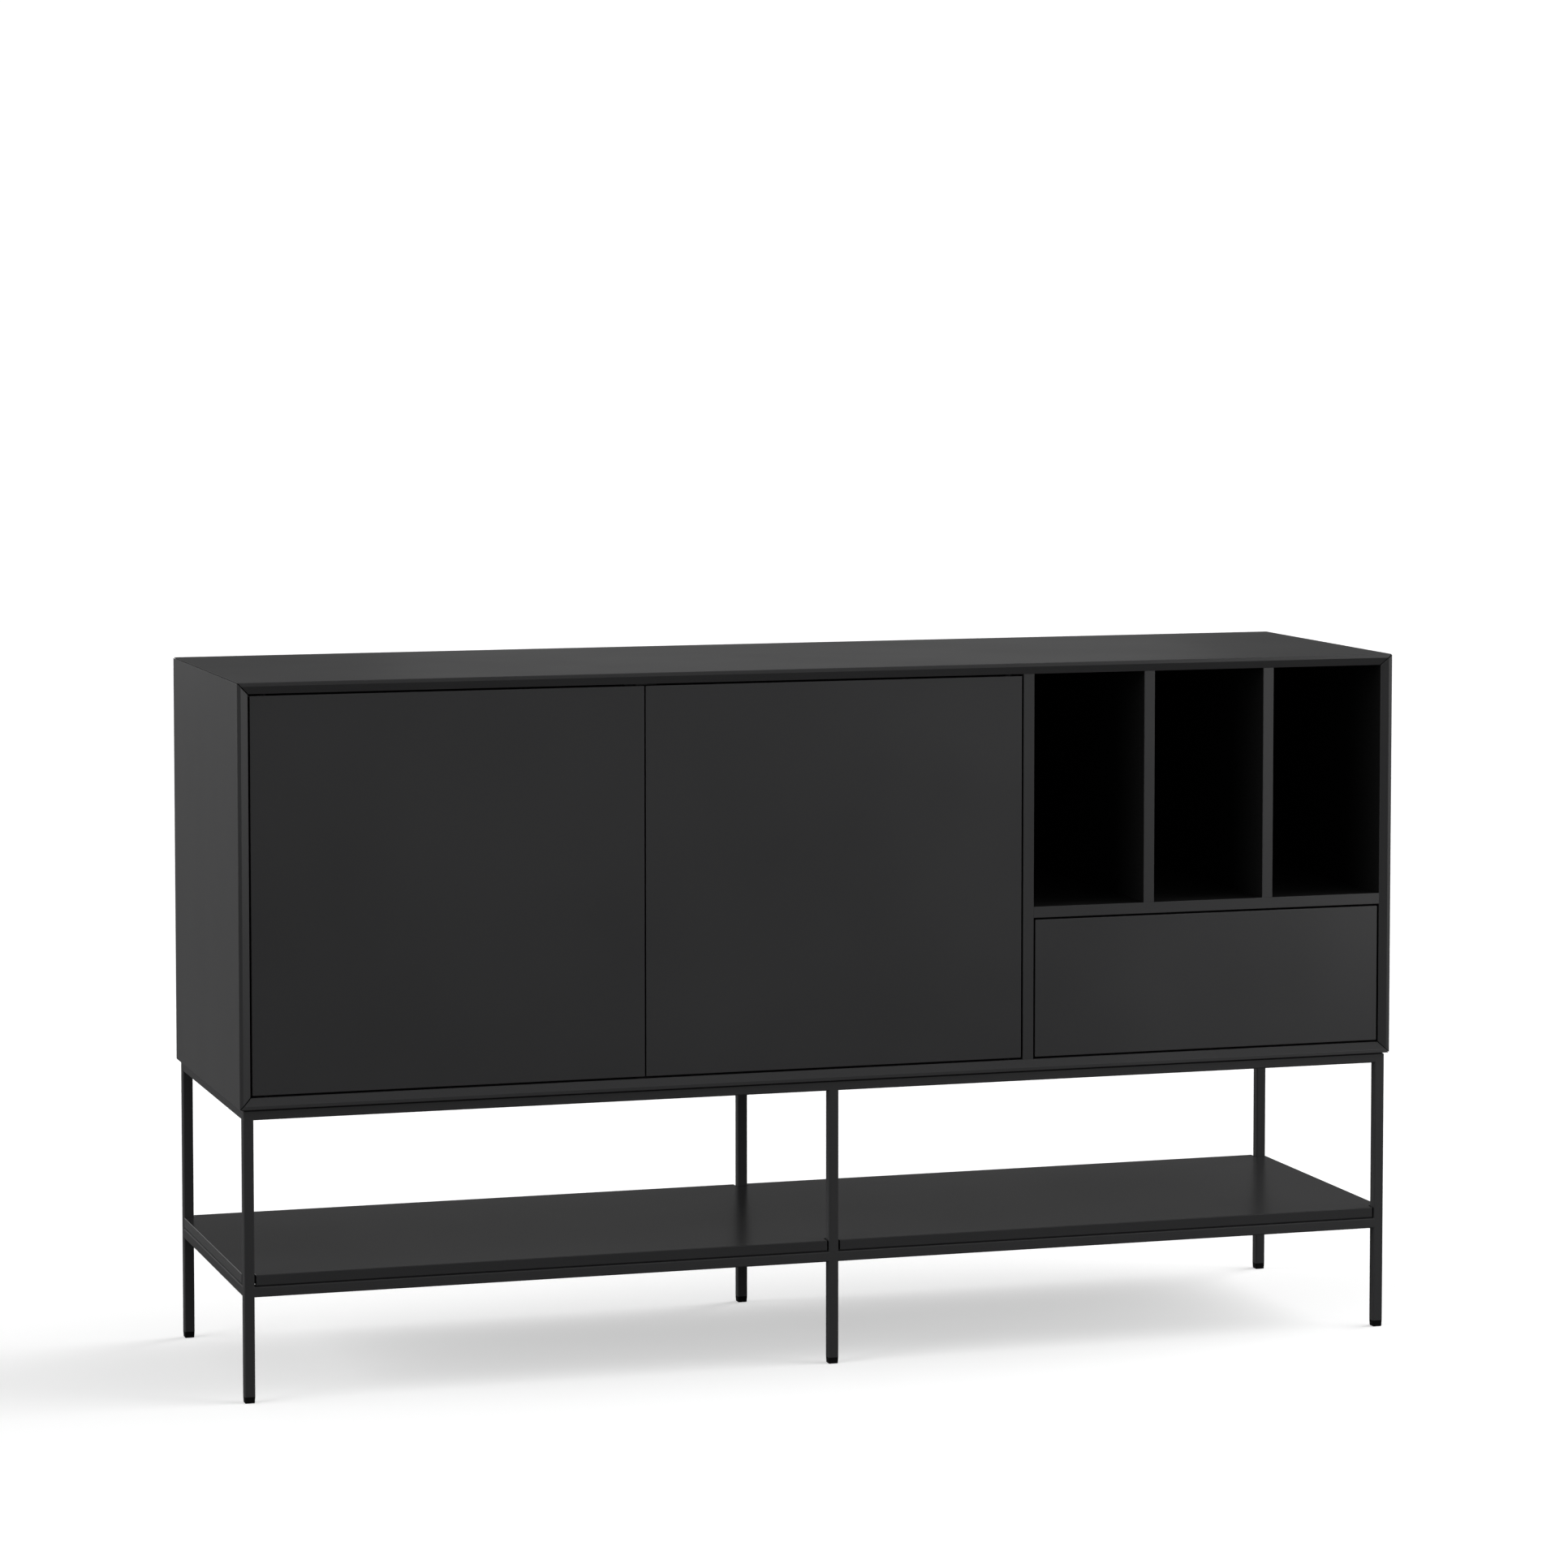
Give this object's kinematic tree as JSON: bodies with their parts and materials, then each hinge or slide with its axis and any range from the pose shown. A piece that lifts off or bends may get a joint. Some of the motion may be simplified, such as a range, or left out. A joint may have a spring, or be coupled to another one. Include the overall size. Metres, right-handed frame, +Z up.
{
  "type": "sideboard",
  "caption": "Long lacquered sideboard with mitred bevelled carcass, push-open doors, open upright compartments and a drawer, on a square tube frame with a low shelf.",
  "frame": {"origin": "on the floor, under the middle of the carcass", "axes": "+X along the width to the user's right, -Y towards the user, +Z up"},
  "size_m": [1.6, 0.44, 0.93],
  "materials": {
    "lacquered_board": "black satin lacquer on MDF board",
    "back_board": "black laminated hardboard back",
    "drawer_board": "black melamine faced drawer board",
    "frame_steel": "black fine texture powder coat on square steel tube",
    "zinc_steel": "bright zinc plated steel",
    "foot_plastic": "matt black moulded plastic",
    "latch_plastic": "grey moulded plastic",
    "plunger_plastic": "black moulded plastic with a soft tip"
  },
  "bodies": {
    "carcass": {"top_panel": "lacquered_board", "bottom_panel": "lacquered_board", "left_side_panel": "lacquered_board", "right_side_panel": "lacquered_board", "back_panel": "back_board", "main_divider": "lacquered_board", "centre_partition": "lacquered_board", "drawer_shelf": "lacquered_board", "compartment_divider_1": "lacquered_board", "compartment_divider_2": "lacquered_board", "left_adjustable_shelf": "lacquered_board", "right_adjustable_shelf": "lacquered_board", "left_door_latch": "latch_plastic", "right_door_latch": "latch_plastic", "drawer_latch": "latch_plastic", "left_slide_outer_member": "zinc_steel", "right_slide_outer_member": "zinc_steel", "front_left_leg": "frame_steel", "front_middle_leg": "frame_steel", "front_right_leg": "frame_steel", "front_high_rail": "frame_steel", "front_left_low_rail": "frame_steel", "front_right_low_rail": "frame_steel", "back_left_leg": "frame_steel", "back_middle_leg": "frame_steel", "back_right_leg": "frame_steel", "back_high_rail": "frame_steel", "back_left_low_rail": "frame_steel", "back_right_low_rail": "frame_steel", "left_high_cross_rail": "frame_steel", "left_low_cross_rail": "frame_steel", "middle_high_cross_rail": "frame_steel", "middle_low_cross_rail": "frame_steel", "right_high_cross_rail": "frame_steel", "right_low_cross_rail": "frame_steel", "front_left_foot": "foot_plastic", "front_middle_foot": "foot_plastic", "front_right_foot": "foot_plastic", "back_left_foot": "foot_plastic", "back_middle_foot": "foot_plastic", "back_right_foot": "foot_plastic", "low_shelf": "lacquered_board"},
    "left_door_leaf": {"left_door": "lacquered_board", "left_door_lower_pivot": "zinc_steel", "left_door_upper_pivot": "zinc_steel"},
    "right_door_leaf": {"right_door": "lacquered_board", "right_door_lower_pivot": "zinc_steel", "right_door_upper_pivot": "zinc_steel"},
    "drawer": {"drawer_front": "lacquered_board", "drawer_left_side": "drawer_board", "drawer_right_side": "drawer_board", "drawer_back": "drawer_board", "drawer_bottom": "drawer_board", "left_slide_inner_member": "zinc_steel", "right_slide_inner_member": "zinc_steel"},
    "slide_middles": {"left_slide_middle_member": "zinc_steel", "right_slide_middle_member": "zinc_steel"},
    "left_plunger": {"left_door_latch_plunger": "plunger_plastic"},
    "right_plunger": {"right_door_latch_plunger": "plunger_plastic"},
    "drawer_plunger": {"drawer_latch_plunger": "plunger_plastic"}
  },
  "joints": [
    {"name": "left_door_hinge", "type": "hinge", "parent": "carcass", "child": "left_door_leaf", "pos_m": [-0.7645, -0.207, 0.6555], "axis": [0, 0, -1], "range_deg": [0, 90]},
    {"name": "right_door_hinge", "type": "hinge", "parent": "carcass", "child": "right_door_leaf", "pos_m": [0.246, -0.207, 0.6555], "axis": [0, 0, 1], "range_deg": [0, 90]},
    {"name": "drawer_slide", "type": "slide", "parent": "carcass", "child": "drawer", "axis": [0, -1, 0], "range_m": [0, 0.34]},
    {"name": "slide_middle_travel", "type": "slide", "parent": "carcass", "child": "slide_middles", "axis": [0, -1, 0], "range_m": [0, 0.17]},
    {"name": "left_plunger_travel", "type": "slide", "parent": "carcass", "child": "left_plunger", "axis": [0, -1, 0], "range_m": [0, 0.014]},
    {"name": "right_plunger_travel", "type": "slide", "parent": "carcass", "child": "right_plunger", "axis": [0, -1, 0], "range_m": [0, 0.014]},
    {"name": "drawer_plunger_travel", "type": "slide", "parent": "carcass", "child": "drawer_plunger", "axis": [0, -1, 0], "range_m": [0, 0.014]}
  ],
  "couplings": [
    {"joint": "slide_middle_travel", "follows": "drawer_slide", "ratio": 0.5},
    {"joint": "left_plunger_travel", "follows": "left_door_hinge", "m_per_rad": 0.0088},
    {"joint": "right_plunger_travel", "follows": "right_door_hinge", "m_per_rad": 0.0088},
    {"joint": "drawer_plunger_travel", "follows": "drawer_slide", "ratio": 0.04}
  ]
}
